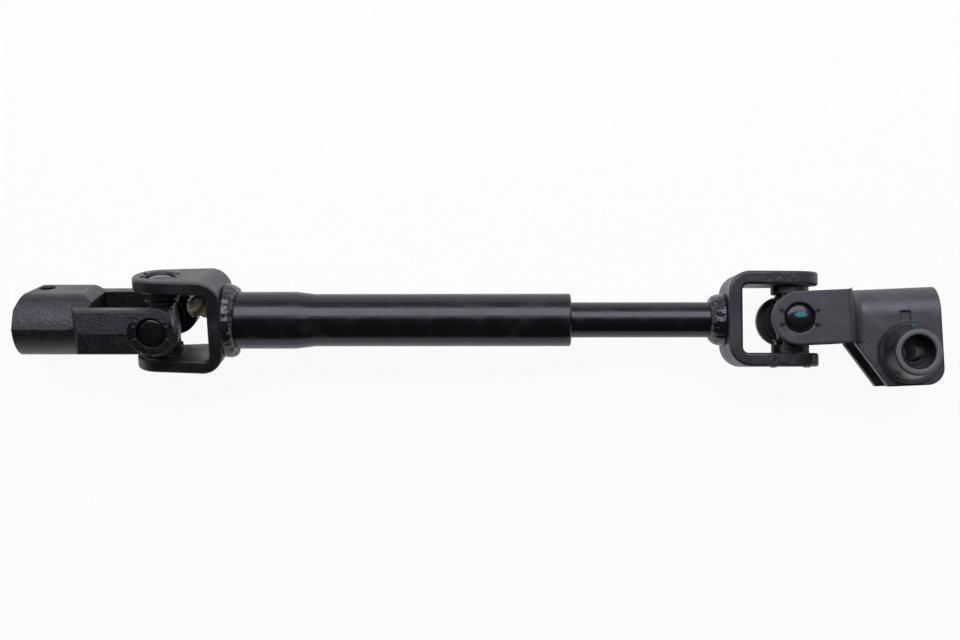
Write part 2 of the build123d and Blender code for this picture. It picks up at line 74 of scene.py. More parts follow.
# %% [markdown]
# ## Places on the shaft
# These few sizes come from the solids. Everything that is added below takes its place
# from them: the two joints' centres lie on the X axis, and the column joint is turned
# by its phase about that axis.

# %% Places on the shaft
mm = 0.001
hub_reach = 76.5 * mm
joint_gap = 338.6 * mm
gear_x = hub_reach + joint_gap
column_centre = (hub_reach, 0.0, 0.0)
gear_centre = (gear_x, 0.0, 0.0)
column_phase = radians(18)
print("joints at x =", round(hub_reach, 4), "and", round(gear_x, 4))

# %% [markdown]
# ## Camera
# The shaft is shown from right above, as it lies on a table. A long lens a good arm's
# length away gives the slight perspective of the photograph: the near eyes of the two
# joints sit a little outside the far ones.

# %% Camera
view_centre = Vector((0.2488, 0.0, 0.0))
view_distance = 0.70
view_tip = radians(2.5)
view_turn = radians(1.5)
lens_mm = 48.6

look = Vector((sin(view_turn), -sin(view_tip), cos(view_tip) * cos(view_turn))).normalized()
right = Vector((0, 1, 0)).cross(look).normalized()
up = look.cross(right).normalized()
camera_data = bpy.data.cameras.new("camera")
camera_data.lens = lens_mm
camera_data.sensor_width = 36.0
camera_data.clip_end = 20.0
camera = bpy.data.objects.new("camera", camera_data)
bpy.context.scene.collection.objects.link(camera)
camera_turn = Matrix((right, up, look)).transposed().to_4x4()
camera.matrix_world = Matrix.Translation(view_centre + look * view_distance) @ camera_turn
bpy.context.scene.camera = camera
print("camera at", [round(value, 3) for value in camera.matrix_world.translation])

# %% [markdown]
# ## Light
# The photograph has one long soft box above the far side of the shaft. Black gloss paint
# shows little colour of its own, so the look is nearly all reflection: a sharp bright band
# along the upper third of each round part, a grey far side, and a dark near side. The
# studio round the shaft is therefore pale on the far side and dim on the near side, while
# the camera sees plain white behind the object.

# %% Lamps
shaft_middle = (0.246, 0.0, 0.0)
key_angle = radians(34)  # from straight above towards the far side
key_distance = 1.15
key_width = 1.6
key_height = 0.74
key_power = 11.0
left_place = (-1.1, 0.1, 0.75)
left_size = 0.5
left_power = 1.3


def link_to_scene(data, name):
    """Make an object from mesh or lamp data and put it in the scene."""
    thing = bpy.data.objects.new(name, data)
    bpy.context.scene.collection.objects.link(thing)
    return thing


def lamp(name, place, target, width, height, power):
    """A rectangular soft lamp that faces the target."""
    data = bpy.data.lights.new(name, "AREA")
    data.shape = "RECTANGLE"
    data.size = width
    data.size_y = height
    data.energy = power
    thing = link_to_scene(data, name)
    facing = (Vector(place) - Vector(target)).to_track_quat("Z", "Y")
    thing.matrix_world = Matrix.Translation(place) @ facing.to_matrix().to_4x4()


key_place = (shaft_middle[0], key_distance * sin(key_angle), key_distance * cos(key_angle))
lamp("key_lamp", key_place, shaft_middle, key_width, key_height, key_power)
lamp("left_lamp", left_place, shaft_middle, left_size, left_size, left_power)

# %% [markdown]
# The photograph's ground is white, yet the paint mirrors a dim near side. Cards round the
# shaft could do that, but they would show in the picture. Here the world's light depends
# on the kind of ray instead. The camera, and whatever is seen through glass, gets plain
# white. A reflection gets white too where it looks level or down, at the backdrop. All
# other light goes from dim on the near side to pale on the far side.

# %% Surroundings
dim_side = 0.03
pale_side = 0.55
near_edge = -0.15  # how far a ray leans along Y where the light starts to rise
far_edge = 0.35
backdrop_edge = 0.02  # how far a ray leans along Z where the backdrop starts to fade
backdrop_end = 0.12


def sum_node(tree, operation):
    """A node that works out one value from one or two others."""
    node = tree.nodes.new("ShaderNodeMath")
    node.operation = operation
    return node


def ramp_node(tree, low, high, to_low, to_high):
    """A node that maps the range from low to high softly to a new one."""
    node = tree.nodes.new("ShaderNodeMapRange")
    node.interpolation_type = "SMOOTHSTEP"
    node.inputs["From Min"].default_value = low
    node.inputs["From Max"].default_value = high
    node.inputs["To Min"].default_value = to_low
    node.inputs["To Max"].default_value = to_high
    return node


studio = bpy.data.worlds.new("studio")
bpy.context.scene.world = studio
studio.use_nodes = True
studio_tree = studio.node_tree
studio_tree.nodes.clear()
direction = studio_tree.nodes.new("ShaderNodeTexCoord")
parts = studio_tree.nodes.new("ShaderNodeSeparateXYZ")
far_side = ramp_node(studio_tree, near_edge, far_edge, dim_side, pale_side)
low_down = ramp_node(studio_tree, backdrop_edge, backdrop_end, 1.0, 0.0)
around = studio_tree.nodes.new("ShaderNodeBackground")
backdrop = studio_tree.nodes.new("ShaderNodeBackground")
backdrop.inputs["Color"].default_value = (1, 1, 1, 1)
rays = studio_tree.nodes.new("ShaderNodeLightPath")
mirrored = sum_node(studio_tree, "MULTIPLY")
seen = sum_node(studio_tree, "MAXIMUM")
seen_at_all = sum_node(studio_tree, "MAXIMUM")
mix = studio_tree.nodes.new("ShaderNodeMixShader")
output = studio_tree.nodes.new("ShaderNodeOutputWorld")
for source, target in (
    (direction.outputs["Generated"], parts.inputs[0]),
    (parts.outputs["Y"], far_side.inputs["Value"]),
    (far_side.outputs["Result"], around.inputs["Strength"]),
    (parts.outputs["Z"], low_down.inputs["Value"]),
    (rays.outputs["Is Glossy Ray"], mirrored.inputs[0]),
    (low_down.outputs["Result"], mirrored.inputs[1]),
    (rays.outputs["Is Camera Ray"], seen.inputs[0]),
    (rays.outputs["Is Transmission Ray"], seen.inputs[1]),
    (seen.outputs[0], seen_at_all.inputs[0]),
    (mirrored.outputs[0], seen_at_all.inputs[1]),
    (seen_at_all.outputs[0], mix.inputs["Fac"]),
    (around.outputs[0], mix.inputs[1]),
    (backdrop.outputs[0], mix.inputs[2]),
    (mix.outputs[0], output.inputs["Surface"]),
):
    studio_tree.links.new(source, target)
bpy.context.scene.view_settings.view_transform = "Standard"
print("studio nodes:", len(studio_tree.nodes))

# %% [markdown]
# ## Paint and metal
# Nearly everything is black paint over steel, so the differences lie in how even the
# surface is. Each finish starts from the same small recipe: noise at two scales moves the
# surface a little, changes its gloss, and lightens it where dust or handling would. A
# bevel node rounds the sharp edges for the light only, as a coat of paint does.
# Patterns are read from Object coordinates, so they stay on the piece in every pose.

# %% Helpers for materials


class Finish:
    """A node material under construction."""

    def __init__(self, name):
        self.material = bpy.data.materials.new(name)
        self.material.use_nodes = True
        self.tree = self.material.node_tree
        self.shader = self.tree.nodes["Principled BSDF"]
        self.place = self.tree.nodes.new("ShaderNodeTexCoord").outputs["Object"]

    def add(self, kind, **values):
        node = self.tree.nodes.new("ShaderNode" + kind)
        for name, value in values.items():
            setattr(node, name, value)
        return node

    def link(self, source, target):
        self.tree.links.new(source, target)

    def feed(self, socket, value):
        """Set a socket to a number or a colour, or link another socket to it."""
        if isinstance(value, (int, float, tuple)):
            socket.default_value = value
        else:
            self.link(value, socket)

    def noise(self, scale, detail=4.0, stretch=(1, 1, 1)):
        """Noise with the given number of blotches per metre."""
        mapping = self.add("Mapping")
        mapping.inputs["Scale"].default_value = stretch
        texture = self.add("TexNoise")
        texture.inputs["Scale"].default_value = scale
        texture.inputs["Detail"].default_value = detail
        self.link(self.place, mapping.inputs["Vector"])
        self.link(mapping.outputs["Vector"], texture.inputs["Vector"])
        return texture.outputs["Fac"]

    def spread(self, value, low, high, to_low=0.0, to_high=1.0):
        """Map a value between two limits to a new range."""
        node = ramp_node(self.tree, low, high, to_low, to_high)
        self.link(value, node.inputs["Value"])
        return node.outputs["Result"]

    def sum(self, first, second, operation="ADD"):
        node = sum_node(self.tree, operation)
        self.feed(node.inputs[0], first)
        self.feed(node.inputs[1], second)
        return node.outputs[0]

    def times(self, first, second):
        return self.sum(first, second, "MULTIPLY")

    def blend(self, factor, first, second):
        """Mix two colours, each a tuple or a socket."""
        node = self.add("Mix", data_type="RGBA")
        self.link(factor, node.inputs["Factor"])
        self.feed(node.inputs[6], first)
        self.feed(node.inputs[7], second)
        return node.outputs[2]

    def distance(self, centre, squash=(1, 1, 1)):
        """Distance from a place on the object, in metres, with each axis weighted."""
        shift = self.add("VectorMath", operation="SUBTRACT")
        self.link(self.place, shift.inputs[0])
        shift.inputs[1].default_value = centre
        weigh = self.add("VectorMath", operation="MULTIPLY")
        self.link(shift.outputs[0], weigh.inputs[0])
        weigh.inputs[1].default_value = squash
        length = self.add("VectorMath", operation="LENGTH")
        self.link(weigh.outputs[0], length.inputs[0])
        return length.outputs["Value"]

    def bump(self, height, depth, edge=0.0):
        """Raise the surface by height times depth, over edges rounded by the radius edge."""
        node = self.add("Bump")
        node.inputs["Strength"].default_value = 1.0
        node.inputs["Distance"].default_value = depth
        self.link(height, node.inputs["Height"])
        if edge:
            rounding = self.add("Bevel", samples=6)
            rounding.inputs["Radius"].default_value = edge
            self.link(rounding.outputs["Normal"], node.inputs["Normal"])
        self.link(node.outputs["Normal"], self.shader.inputs["Normal"])


def grey(level, blue=1.0):
    return (level, level, level * blue, 1.0)


print("helper ready:", Finish.__name__)

# %% [markdown]
# Most pieces of the real shaft are dipped or sprayed black. Pictures of paint could be
# wrapped round them, but those would stretch and would need a map of every surface. Noise
# that is read from the piece's own space needs neither. One function makes all the black
# paints, and its sizes tell them apart: how high the grain and the waves stand, how wide
# the edges are rounded, and how sharp and strong the gloss is.

# %% Black paint
violet_sheen = (0.85, 0.83, 1.0, 1.0)
blue_cast = 1.2
grain_scale = 2400.0
dust_scale = 75.0
dust_lift = 2.2  # how much lighter the dusty patches are
dust_limits = (0.50, 0.72)  # of the noise, from clean to dusty
dull_limits = (0.35, 0.70)  # of the noise, from gloss to dull
gloss_change = (-0.03, 0.10)  # what is added to a paint's gloss value at those limits


def black_paint(name, level, gloss, grain, waves, wave_scale=240.0, edge=0.5 * mm, shine=0.58):
    """Black paint with fine grain, slow waves, and dusty lighter patches.

    grain and waves are the heights of the two noises, in metres. A lower gloss value
    is a sharper reflection, and shine is its strength.
    """
    finish = Finish(name)
    finish.shader.inputs["Specular IOR Level"].default_value = shine
    finish.shader.inputs["Specular Tint"].default_value = violet_sheen
    fine = finish.noise(grain_scale, 3.0)
    slow = finish.noise(wave_scale, 3.0)
    dust = finish.noise(dust_scale, 6.0)
    patch = finish.spread(dust, *dust_limits)
    finish.colour = finish.blend(patch, grey(level, blue_cast), grey(level * dust_lift, blue_cast))
    sharp, dull = (gloss + change for change in gloss_change)
    finish.rough = finish.spread(dust, *dull_limits, sharp, dull)
    finish.height = finish.sum(slow, finish.times(fine, grain / waves))
    finish.depth = waves
    finish.edge = edge
    return finish


def settle(finish):
    """Join the colour, gloss and height of a finish to its shader."""
    finish.link(finish.colour, finish.shader.inputs["Base Color"])
    finish.link(finish.rough, finish.shader.inputs["Roughness"])
    finish.bump(finish.height, finish.depth, finish.edge)
    return finish


smooth_paint = settle(black_paint(
    "smooth_paint", level=0.007, gloss=0.19, grain=0.003 * mm, waves=0.02 * mm))
weld_paint = settle(black_paint(
    "weld_paint", level=0.008, gloss=0.12, grain=0.02 * mm, waves=0.40 * mm,
    wave_scale=420.0, edge=0.3 * mm, shine=0.8))
cup_paint = settle(black_paint(
    "cup_paint", level=0.008, gloss=0.15, grain=0.003 * mm, waves=0.02 * mm))
cross_paint = settle(black_paint(
    "cross_paint", level=0.012, gloss=0.28, grain=0.02 * mm, waves=0.10 * mm, wave_scale=420.0))
stamped_paint = settle(black_paint(
    "stamped_paint", level=0.010, gloss=0.36, grain=0.008 * mm, waves=0.12 * mm,
    wave_scale=170.0, edge=0.8 * mm, shine=0.9))
# The clamp yoke's base is about three times lighter than the other black paints: painted sheen for
# the broad reflection of its rougher paint.
pressed_paint = settle(black_paint(
    "pressed_paint", level=0.032, gloss=0.44, grain=0.008 * mm, waves=0.14 * mm,
    wave_scale=110.0, edge=1.2 * mm, shine=1.0))
print("plain black paints: 6")

# %% [markdown]
# The column yoke is a forging. Its skin is pebbled by scale and grit blasting, and the
# paint follows that, so its bump is coarser and its gloss broken up. The right fork was
# sheared from thick strip: the cut edges of its arms are torn over a stretch near the
# eyes. That patch is a mask along X, so it stays where it is on the arm.

# %% Forged and sheared paint
pit_scale = 1250.0
pit_limits = (0.50, 0.66)
pit_depth = 0.45  # as a share of the waves' height
forged_paint = black_paint(
    "forged_paint", level=0.005, gloss=0.31, grain=0.07 * mm, waves=0.22 * mm,
    wave_scale=620.0, edge=0.8 * mm, shine=0.72)
pits = forged_paint.spread(forged_paint.noise(pit_scale, 2.0), *pit_limits)
forged_paint.height = forged_paint.sum(forged_paint.height, forged_paint.times(pits, -pit_depth))

torn_start = gear_x - 16 * mm
torn_end = gear_x + 2 * mm
torn_fade = 3 * mm
edge_starts = 10 * mm  # how far off the mid plane the mask of the cut edges fades in
edge_full = 13 * mm
tear_scale = 1500.0
tear_stretch = (1.0, 0.22, 0.5)
tear_height = 7.0  # times the waves' height
sheared_paint = black_paint(
    "sheared_paint", level=0.010, gloss=0.36, grain=0.008 * mm, waves=0.12 * mm,
    wave_scale=170.0, edge=1.2 * mm, shine=0.9)
split_place = sheared_paint.add("SeparateXYZ")
sheared_paint.link(sheared_paint.place, split_place.inputs[0])
along = split_place.outputs["X"]
rise = sheared_paint.spread(along, torn_start - torn_fade, torn_start + torn_fade)
fall = sheared_paint.spread(along, torn_end - torn_fade, torn_end + torn_fade, 1.0, 0.0)
off_middle = sum_node(sheared_paint.tree, "ABSOLUTE")
sheared_paint.link(split_place.outputs["Z"], off_middle.inputs[0])
on_edge = sheared_paint.spread(off_middle.outputs[0], edge_starts, edge_full)
torn = sheared_paint.times(sheared_paint.times(rise, fall), on_edge)
tears = sheared_paint.noise(tear_scale, 6.0, tear_stretch)
sheared_paint.height = sheared_paint.sum(
    sheared_paint.height, sheared_paint.times(torn, sheared_paint.times(tears, tear_height))
)
settle(sheared_paint)
print("sheared from", round(torn_start, 4), "to", round(torn_end, 4))

# %% [markdown]
# Someone marked two places with a teal paint pen when the joints were checked: a dab on
# the right cup and a dot on the bolt boss. A pale bluish patch lies at the edge of the
# left yoke's eye. Each is a mask round a place on its piece, with noise to fray its edge.
# The same mask, flattened to a level, dulls the top of the boss and paints it much lighter: a
# painted highlight.

# %% Marked finishes
teal = (0.012, 0.19, 0.22, 1.0)
pale_eye_patch = (0.10, 0.115, 0.15, 1.0)
painted_boss_highlight = grey(0.13, 1.1)
boss_top = 31.9 * mm
fray_scale = 1100.0
added_roughness = 0.12


def dab(finish, centre, squash, size, fray, colour):
    """Paint a frayed patch round a place on the piece.

    squash weighs the three axes: the patch reaches further along one with a small weight.
    """
    reach = finish.distance(centre, squash)
    ragged = finish.sum(reach, finish.times(finish.noise(fray_scale, 4.0), fray))
    patch = finish.spread(ragged, size + fray * 0.5, size + fray * 0.62, 1.0, 0.0)
    finish.colour = finish.blend(patch, finish.colour, colour)
    finish.rough = finish.sum(finish.rough, finish.times(patch, added_roughness))


marked_cup_paint = black_paint(
    "marked_cup_paint", level=0.008, gloss=0.15, grain=0.003 * mm, waves=0.02 * mm)
dab(marked_cup_paint, centre=(gear_x + 0.6 * mm, 1.6 * mm, 23.3 * mm),
    squash=(0.55, 1.25, 0.4), size=1.7 * mm, fray=2.0 * mm, colour=teal)
settle(marked_cup_paint)

boss_paint = black_paint(
    "boss_paint", level=0.012, gloss=0.30, grain=0.012 * mm, waves=0.05 * mm,
    wave_scale=300.0, edge=0.7 * mm, shine=0.6)
dab(boss_paint, centre=(gear_x + 60.4 * mm, -3.6 * mm, 22.0 * mm),
    squash=(0.6, 1.1, 0.2), size=0.8 * mm, fray=0.8 * mm, colour=teal)
# Painted highlight: a band round the top of the boss, much lighter than its paint.
dab(boss_paint, centre=(gear_x, 0.0, boss_top),
    squash=(0.0, 0.0, 1.0), size=0.5 * mm, fray=0.6 * mm, colour=painted_boss_highlight)
settle(boss_paint)

# A pale bluish patch at the edge of the left yoke's eye.
dab(forged_paint, centre=(hub_reach + 12.0 * mm, 0.0, 25.5 * mm),
    squash=(2.6, 0.75, 0.5), size=2.2 * mm, fray=6.0 * mm, colour=pale_eye_patch)
settle(forged_paint)
print("marked finishes: 3")

# %% [markdown]
# The other finishes need only one noise. Sealant is cloudy and wet: light goes some way
# into it, and a clear coat gives it its sharp highlights.

# %% Metal, rubber, nylon and sealant


def plain_finish(name, colour, rough, metal=0.0, grain=0.01 * mm, scale=1500.0):
    """A finish whose tone and gloss vary a little with one noise."""
    finish = Finish(name)
    speckle = finish.noise(scale, 4.0)
    tone = finish.spread(speckle, 0.3, 0.7)
    lighter = tuple(min(1.0, part * 1.25) for part in colour[:3]) + (1.0,)
    finish.link(finish.blend(tone, colour, lighter), finish.shader.inputs["Base Color"])
    finish.link(finish.spread(speckle, 0.3, 0.7, rough - 0.05, rough + 0.08),
                finish.shader.inputs["Roughness"])
    finish.shader.inputs["Metallic"].default_value = metal
    finish.bump(speckle, grain)
    return finish


# Near-black and darker than every paint here: painted shade for the shadow inside the stake
# notches.
painted_notch_shade = plain_finish("painted_notch_shade", grey(0.002), rough=0.55)
scuffed_paint = plain_finish("scuffed_paint", grey(0.05, 1.2), rough=0.25)
bare_steel = plain_finish("bare_steel", (0.30, 0.30, 0.31, 1.0), rough=0.30, metal=1.0)
seal_rubber = plain_finish("seal_rubber", grey(0.018), rough=0.40)
nylon = plain_finish("nylon", (0.55, 0.50, 0.36, 1.0), rough=0.38)
sealant = plain_finish(
    "sealant", (0.30, 0.275, 0.19, 1.0), rough=0.12, grain=0.02 * mm, scale=500.0)
sealant.shader.inputs["Subsurface Weight"].default_value = 0.5
sealant.shader.inputs["Subsurface Radius"].default_value = (0.004, 0.004, 0.003)
sealant.shader.inputs["Coat Weight"].default_value = 0.6
sealant.shader.inputs["Coat Roughness"].default_value = 0.06
print("plain finishes: 6")

# %% [markdown]
# Each solid gets the finish of its material slot in the record, unless it has one of its
# own: the drawn tubes are smoother than the yokes, and some pieces are marked.

# %% Dress the solids
finish_of_slot = {
    "painted_steel": stamped_paint,
    "painted_forging": forged_paint,
    "painted_weld": weld_paint,
    "painted_cup": cup_paint,
    "bare_steel": bare_steel,
    "seal_rubber": seal_rubber,
    "nylon": nylon,
    "sealant": sealant,
}
finish_of_node = {
    "outer_tube": smooth_paint,
    "inner_shaft": smooth_paint,
    "bolt_boss": boss_paint,
    "shaft_yoke": sheared_paint,
    "column_cross": cross_paint,
    "gear_cross": cross_paint,
    "clamp_yoke": pressed_paint,
    "clamp_yoke_cup_a": marked_cup_paint,
}


def dress(thing, finish):
    """Give an object one finish all over."""
    thing.data.materials.clear()
    thing.data.materials.append(finish.material)


for part in frame["record"]["subparts"]:
    finish = finish_of_node.get(part["node"], finish_of_slot[part["material_slot"]])
    dress(nodes[part["node"]], finish)

# %% [markdown]
# ## Forms that repeat
# Weld ripples, stake marks, domes and serrations all repeat round a circle, so Geometry
# Nodes make them. The helper below builds a tree with named inputs, sets each input by
# its identifier, and keeps the result as a plain mesh that rides on one body.

# %% Helper for geometry trees


class Growth:
    """A Geometry Nodes tree under construction, with named inputs."""

    def __init__(self, name, sizes):
        self.tree = bpy.data.node_groups.new(name, "GeometryNodeTree")
        sockets = self.tree.interface
        sockets.new_socket("Geometry", in_out="OUTPUT", socket_type="NodeSocketGeometry")
        self.sizes = {}
        for label, value in sizes.items():
            kind = "NodeSocketInt" if isinstance(value, int) else "NodeSocketFloat"
            self.sizes[label] = (sockets.new_socket(label, socket_type=kind), value)
        self.entry = self.tree.nodes.new("NodeGroupInput")

    def size(self, label):
        """The group's input of that name, as a socket to link from."""
        return self.entry.outputs[label]

    def node(self, kind, inputs=None, **values):
        node = self.tree.nodes.new(kind)
        for name, value in values.items():
            setattr(node, name, value)
        for name, value in (inputs or {}).items():
            self.feed(node.inputs[name], value)
        return node

    def feed(self, socket, value):
        if isinstance(value, bpy.types.NodeSocket):
            self.tree.links.new(value, socket)
        else:
            socket.default_value = value

    def math(self, operation, first, second=0.0):
        node = self.node("ShaderNodeMath", {0: first, 1: second}, operation=operation)
        return node.outputs[0]

    def xyz(self, x=0.0, y=0.0, z=0.0):
        return self.node("ShaderNodeCombineXYZ", {"X": x, "Y": y, "Z": z}).outputs[0]

    def finish(self, geometry, paint):
        """End the tree with real instances and a material."""
        real = self.node("GeometryNodeRealizeInstances", {"Geometry": geometry})
        painted = self.node("GeometryNodeSetMaterial", {"Geometry": real.outputs[0]})
        painted.inputs["Material"].default_value = paint.material
        leave = self.tree.nodes.new("NodeGroupOutput")
        self.tree.links.new(painted.outputs[0], leave.inputs[0])

    def plain_mesh(self, name, body):
        """Grow the tree on a new object and keep only its mesh, riding on a body."""
        holder = link_to_scene(bpy.data.meshes.new(name + "_seed"), name + "_seed")
        modifier = holder.modifiers.new("growth", "NODES")
        modifier.node_group = self.tree
        for socket, value in self.sizes.values():
            modifier[socket.identifier] = value
        grown = holder.evaluated_get(bpy.context.evaluated_depsgraph_get())
        mesh = bpy.data.meshes.new_from_object(grown)
        holder.modifiers.remove(modifier)
        bpy.data.objects.remove(holder)
        mesh.name = name
        piece = link_to_scene(mesh, name)
        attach(piece, body)
        along = [vertex.co.x for vertex in mesh.vertices]
        shape = bmesh.new()
        shape.from_mesh(mesh)
        print(name, "triangles:", sum(len(face.vertices) - 2 for face in mesh.polygons),
              "from x", round(min(along), 4), "to", round(max(along), 4),
              "volume in mm3", round(shape.calc_volume(signed=True) * 1e9))
        shape.free()
        return piece


print("helper ready:", Growth.__name__)

# %% [markdown]
# ### Weld beads
# Each fork is welded to its tube by one bead that runs all the way round. A bead is a
# quarter-round fillet swept along a circle, and its scales are left by the pulses of the
# arc. A real one is never even, so the ripples are skewed and noise swells the bead
# here and there. The ripples die out at both toes, where the bead meets the steel.

# %% Weld beads
points_round = 260
points_across = 15
web_reach = 35.2 * mm  # from a joint's centre to the outer face of its fork's web
ripple_skew = 1.6  # radians of a ripple's turn, from one toe to the other
lump_scale = 170.0


def weld_bead(name, body, replaced, face_x, away, sizes):
    """A rippled bead round the X axis. It stands on the web's face.

    away is 1 where the tube runs off along +X, and -1 where it runs along -X.
    """
    growth = Growth(name + "_tree", sizes)
    ring = growth.node("GeometryNodeCurvePrimitiveCircle", {
        "Resolution": points_round, "Radius": growth.size("Tube"),
    })
    section = growth.node("GeometryNodeCurveArc", {
        "Resolution": points_across, "Radius": 1.0, "Sweep Angle": pi / 2,
        "Connect Center": True,
    })
    down_the_leg = growth.math("MULTIPLY", growth.size("Leg"), -1.0)
    wide = growth.node("GeometryNodeTransform", {
        "Geometry": section.outputs["Curve"],
        "Scale": growth.xyz(growth.size("Height"), down_the_leg, 1.0),
    })
    sweep = growth.node("GeometryNodeCurveToMesh", {
        "Curve": ring.outputs["Curve"],
        "Profile Curve": wide.outputs["Geometry"],
    })
    faced = growth.node("GeometryNodeFlipFaces", {"Mesh": sweep.outputs["Mesh"]})
    place = growth.node("GeometryNodeInputPosition").outputs[0]
    flat = growth.node("ShaderNodeSeparateXYZ", {0: place})
    angle = growth.math("ARCTAN2", flat.outputs["Y"], flat.outputs["X"])
    off_axis = growth.xyz(flat.outputs["X"], flat.outputs["Y"])
    radius = growth.node("ShaderNodeVectorMath", {0: off_axis}, operation="LENGTH").outputs["Value"]
    up_the_leg = growth.math("DIVIDE", flat.outputs["Z"], growth.size("Leg"))
    off_the_tube = growth.math("DIVIDE", growth.math("SUBTRACT", radius, growth.size("Tube")),
                               growth.size("Height"))
    middle = growth.math("MULTIPLY", growth.math("MULTIPLY", up_the_leg, off_the_tube), 2.0)
    skew = growth.math("MULTIPLY", growth.math("MULTIPLY", up_the_leg, up_the_leg), ripple_skew)
    turn = growth.math("ADD", growth.math("MULTIPLY", angle, growth.size("Ripples")), skew)
    scale = growth.math("ABSOLUTE", growth.math("SINE", growth.math("MULTIPLY", turn, 0.5)))
    shift = growth.xyz(growth.size("Seed"))
    shifted = growth.node("ShaderNodeVectorMath", {0: place, 1: shift}, operation="ADD").outputs[0]
    lumps = growth.node("ShaderNodeTexNoise", {
        "Vector": shifted, "Scale": lump_scale, "Detail": 3.0,
    }).outputs["Fac"]
    swell = growth.math("MULTIPLY", growth.math("SUBTRACT", lumps, 0.5), growth.size("Lumps"))
    relief = growth.math("ADD", growth.math("MULTIPLY", scale, growth.size("Ripple height")), swell)
    outwards = growth.node("ShaderNodeVectorMath", {
        0: growth.node("GeometryNodeInputNormal").outputs[0],
    }, operation="SCALE")
    growth.feed(outwards.inputs["Scale"], growth.math("MULTIPLY", relief, middle))
    rough = growth.node("GeometryNodeSetPosition", {
        "Geometry": faced.outputs["Mesh"],
        "Offset": outwards.outputs[0],
    })
    stood = growth.node("GeometryNodeTransform", {
        "Geometry": rough.outputs["Geometry"],
        "Translation": (face_x, 0.0, 0.0),
        "Rotation": (0.0, away * pi / 2, 0.0),
    })
    smooth = growth.node("GeometryNodeSetShadeSmooth", {"Geometry": stood.outputs["Geometry"]})
    growth.finish(smooth.outputs[0], weld_paint)
    bead = growth.plain_mesh(name, body)
    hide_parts(replaced)


weld_bead("left_weld_bead", "tube", "tube_weld", hub_reach + web_reach, 1, {
    "Tube": 15.4 * mm, "Leg": 6.4 * mm, "Height": 4.6 * mm, "Ripples": 26,
    "Ripple height": 0.20 * mm, "Lumps": 3.4 * mm, "Seed": 3.0,
})
weld_bead("right_weld_bead", "shaft", "shaft_weld", gear_x - web_reach, -1, {
    "Tube": 9.4 * mm, "Leg": 8.4 * mm, "Height": 4.4 * mm, "Ripples": 17,
    "Ripple height": 0.25 * mm, "Lumps": 3.4 * mm, "Seed": 11.0,
})

# %% [markdown]
# ### Stake marks
# A bearing cup is pressed into its eye and held by staking: a chisel pushes a little
# metal of the eye over the cup's rim. Each eye has four such marks, two to the left and
# two to the right. A mark is one small wedge, set four times round each of a yoke's two
# eyes.

# %% Stake marks
mark = {"Ring radius": 9.5 * mm, "Spread": radians(22), "Width": 0.7 * mm, "Tip": 0.4 * mm,
        "Rise": 0.5 * mm, "Level": 25.2 * mm}


def stake_marks(name, body, paint, centre, turn, sizes):
    """Wedges round the two eyes of a yoke. turn leads the eyes' common axis from +Z."""
    growth = Growth(name + "_tree", sizes)
    line = growth.node("GeometryNodeMeshLine", {"Count": 4})
    index = growth.node("GeometryNodeInputIndex").outputs[0]
    half = growth.math("FLOOR", growth.math("DIVIDE", index, 2.0))
    zero_or_one = growth.math("MODULO", index, 2.0)
    either_way = growth.math("SUBTRACT", growth.math("MULTIPLY", zero_or_one, 2.0), 1.0)
    angle = growth.math("ADD", growth.math("MULTIPLY", half, pi),
                        growth.math("MULTIPLY", either_way, growth.size("Spread")))
    ring_place = growth.xyz(
        growth.math("MULTIPLY", growth.math("COSINE", angle), growth.size("Ring radius")),
        growth.math("MULTIPLY", growth.math("SINE", angle), growth.size("Ring radius")),
        growth.size("Level"),
    )
    placed = growth.node("GeometryNodeSetPosition", {
        "Geometry": line.outputs["Mesh"], "Position": ring_place,
    })
    wedge = growth.node("GeometryNodeMeshCone", {
        "Vertices": 5, "Side Segments": 3, "Radius Top": growth.size("Tip"),
        "Radius Bottom": growth.size("Width"), "Depth": growth.size("Rise"),
    })
    flat_wedge = growth.node("GeometryNodeTransform", {
        "Geometry": wedge.outputs["Mesh"], "Scale": (2.0, 1.0, 1.0),
    })
    marks = growth.node("GeometryNodeInstanceOnPoints", {
        "Points": placed.outputs["Geometry"], "Instance": flat_wedge.outputs["Geometry"],
        "Rotation": growth.xyz(0.0, 0.0, angle),
    })
    other = growth.node("GeometryNodeTransform", {
        "Geometry": marks.outputs["Instances"], "Rotation": (pi, 0.0, 0.0),
    })
    both = growth.node("GeometryNodeJoinGeometry")
    growth.tree.links.new(marks.outputs["Instances"], both.inputs[0])
    growth.tree.links.new(other.outputs["Geometry"], both.inputs[0])
    stood = growth.node("GeometryNodeTransform", {
        "Geometry": both.outputs[0], "Translation": tuple(centre), "Rotation": turn,
    })
    growth.finish(stood.outputs["Geometry"], paint)
    growth.plain_mesh(name, body)


# Three yokes get near-black marks, painted shade in their notches; the column yoke's marks are
# scuffed paint.
stake_marks("tube_stakes", "tube", painted_notch_shade, column_centre,
            (column_phase - pi / 2, 0.0, 0.0), mark)
stake_marks("column_stakes", "column_yoke", scuffed_paint, column_centre,
            (column_phase, 0.0, 0.0), {**mark, "Level": 25.3 * mm, "Rise": 0.9 * mm})
stake_marks("shaft_stakes", "shaft", painted_notch_shade, gear_centre,
            (-pi / 2, 0.0, 0.0), mark)
stake_marks("clamp_stakes", "clamp_yoke", painted_notch_shade, gear_centre,
            (0.0, 0.0, 0.0), {**mark, "Width": 1.1 * mm, "Tip": 0.7 * mm})

# %% [markdown]
# ### Domed cup ends
# A drawn cup isn't quite flat: its end is a shallow dome inside a thin rim, which is why
# the light falls off across it. Each dome is a squashed ball, half sunk in its cup.

# %% Domed cup ends
dome = {"Radius": 6.9 * mm, "Height": 1.5 * mm, "Level": 23.3 * mm}


